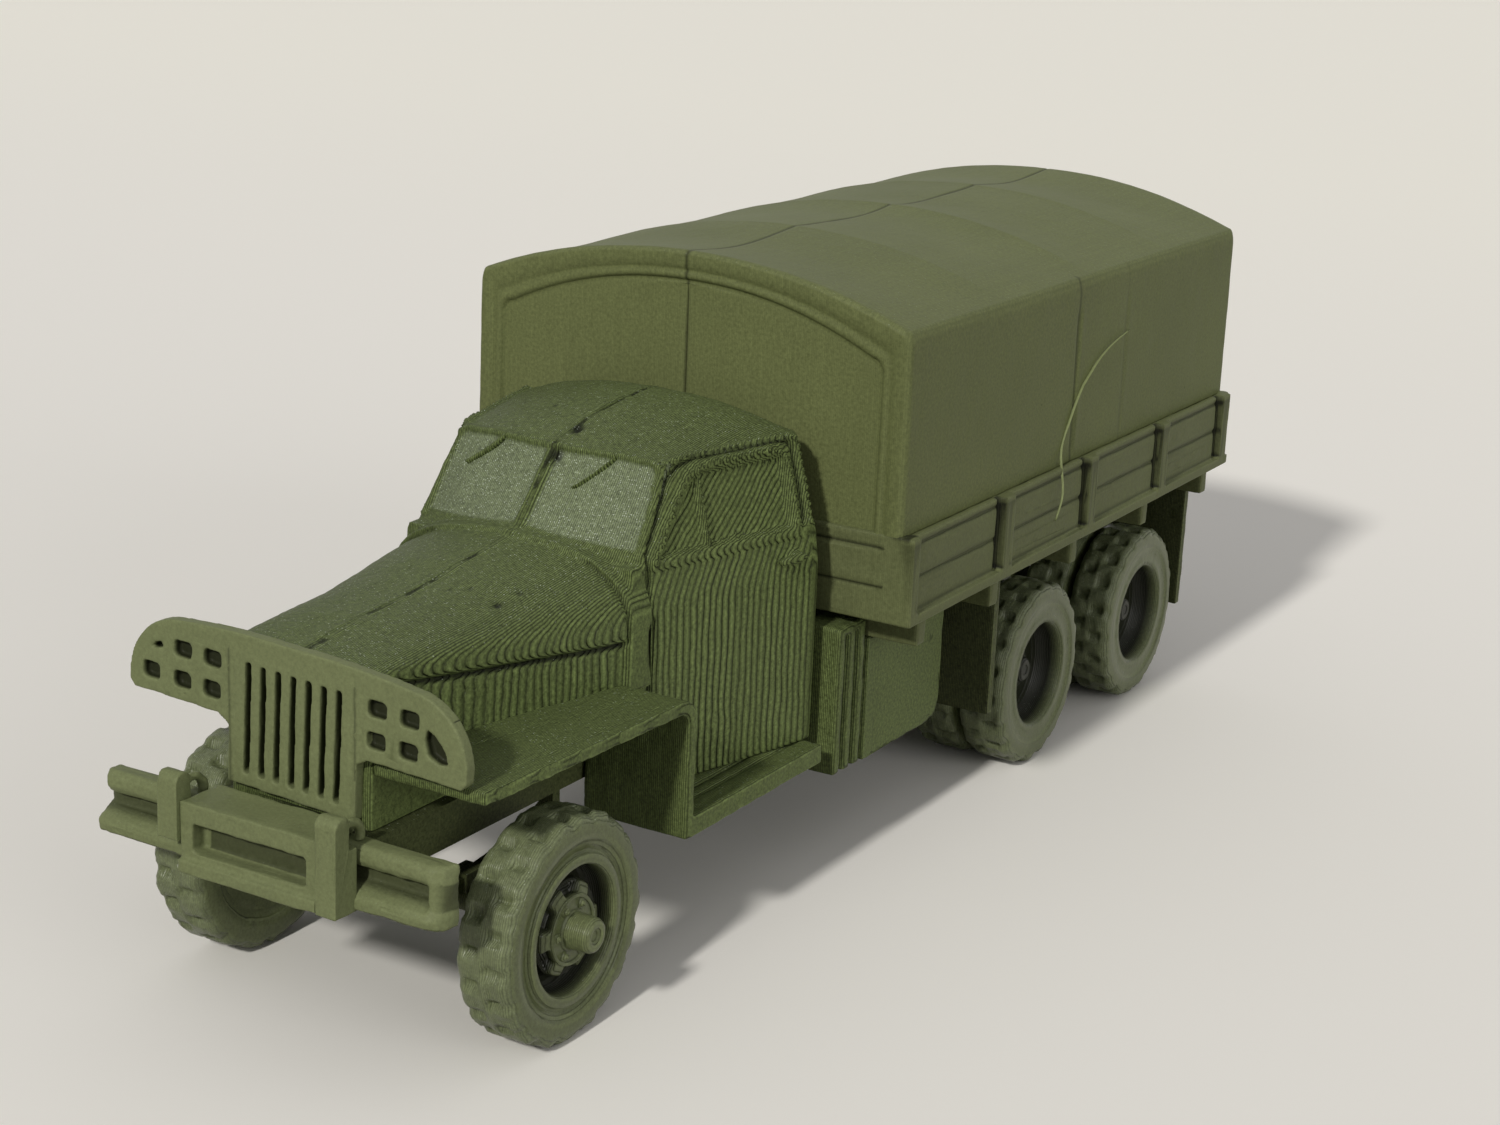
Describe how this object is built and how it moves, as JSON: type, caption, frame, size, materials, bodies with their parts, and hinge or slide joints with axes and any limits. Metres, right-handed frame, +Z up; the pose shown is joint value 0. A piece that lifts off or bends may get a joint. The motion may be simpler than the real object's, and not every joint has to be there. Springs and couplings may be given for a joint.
{
  "type": "scale model military cargo truck",
  "caption": "Printed scale model of a six-wheel military cargo truck: slotted front guard, closed cab, covered bed, and wheels that turn on their stub axles.",
  "frame": {"origin": "on the ground under the middle of the model's length and width", "axes": "+X to the truck's left side, +Y to its rear, +Z up"},
  "size_m": [0.04, 0.1142, 0.0455],
  "materials": {
    "body_plastic": "printed army green plastic, fine layer lines",
    "cover_plastic": "printed army green plastic, fine layer lines and cloth-like grain",
    "chassis_plastic": "printed army green plastic",
    "wheel_plastic": "printed army green plastic, rough tread"
  },
  "bodies": {
    "chassis": {"cab_left_half": "body_plastic", "cab_right_half": "body_plastic", "fender_left": "body_plastic", "fender_right": "body_plastic", "radiator_guard": "body_plastic", "front_bumper": "body_plastic", "winch_frame": "body_plastic", "tow_lugs": "body_plastic", "chassis_frame": "chassis_plastic", "front_springs": "chassis_plastic", "bogie_springs": "chassis_plastic", "front_axle": "chassis_plastic", "rear_axle_1": "chassis_plastic", "rear_axle_2": "chassis_plastic", "drive_line": "chassis_plastic", "propeller_shafts": "chassis_plastic", "battery_box_left": "body_plastic", "battery_box_right": "body_plastic", "fuel_tank_left": "body_plastic", "fuel_tank_right": "body_plastic", "bed_left_half": "body_plastic", "bed_right_half": "body_plastic", "cover_left_half": "cover_plastic", "cover_right_half": "cover_plastic", "mud_flaps": "chassis_plastic", "tail_lamps": "body_plastic", "tow_hitch": "chassis_plastic"},
    "wheel_front_left_body": {"wheel_front_left": "wheel_plastic"},
    "wheel_front_right_body": {"wheel_front_right": "wheel_plastic"},
    "wheel_rear_1_left_body": {"wheel_rear_1_left": "wheel_plastic"},
    "wheel_rear_1_right_body": {"wheel_rear_1_right": "wheel_plastic"},
    "wheel_rear_2_left_body": {"wheel_rear_2_left": "wheel_plastic"},
    "wheel_rear_2_right_body": {"wheel_rear_2_right": "wheel_plastic"}
  },
  "joints": [
    {"name": "front_left_spin", "type": "hinge", "parent": "chassis", "child": "wheel_front_left_body", "pos_m": [0.01255, -0.04233, 0.00775], "axis": [1, 0, 0], "continuous": true},
    {"name": "front_right_spin", "type": "hinge", "parent": "chassis", "child": "wheel_front_right_body", "pos_m": [-0.01255, -0.04233, 0.00775], "axis": [1, 0, 0], "continuous": true},
    {"name": "rear_1_left_spin", "type": "hinge", "parent": "chassis", "child": "wheel_rear_1_left_body", "pos_m": [0.0124, 0.02307, 0.00775], "axis": [1, 0, 0], "continuous": true},
    {"name": "rear_1_right_spin", "type": "hinge", "parent": "chassis", "child": "wheel_rear_1_right_body", "pos_m": [-0.0124, 0.02307, 0.00775], "axis": [1, 0, 0], "continuous": true},
    {"name": "rear_2_left_spin", "type": "hinge", "parent": "chassis", "child": "wheel_rear_2_left_body", "pos_m": [0.0124, 0.04448, 0.00775], "axis": [1, 0, 0], "continuous": true},
    {"name": "rear_2_right_spin", "type": "hinge", "parent": "chassis", "child": "wheel_rear_2_right_body", "pos_m": [-0.0124, 0.04448, 0.00775], "axis": [1, 0, 0], "continuous": true}
  ]
}
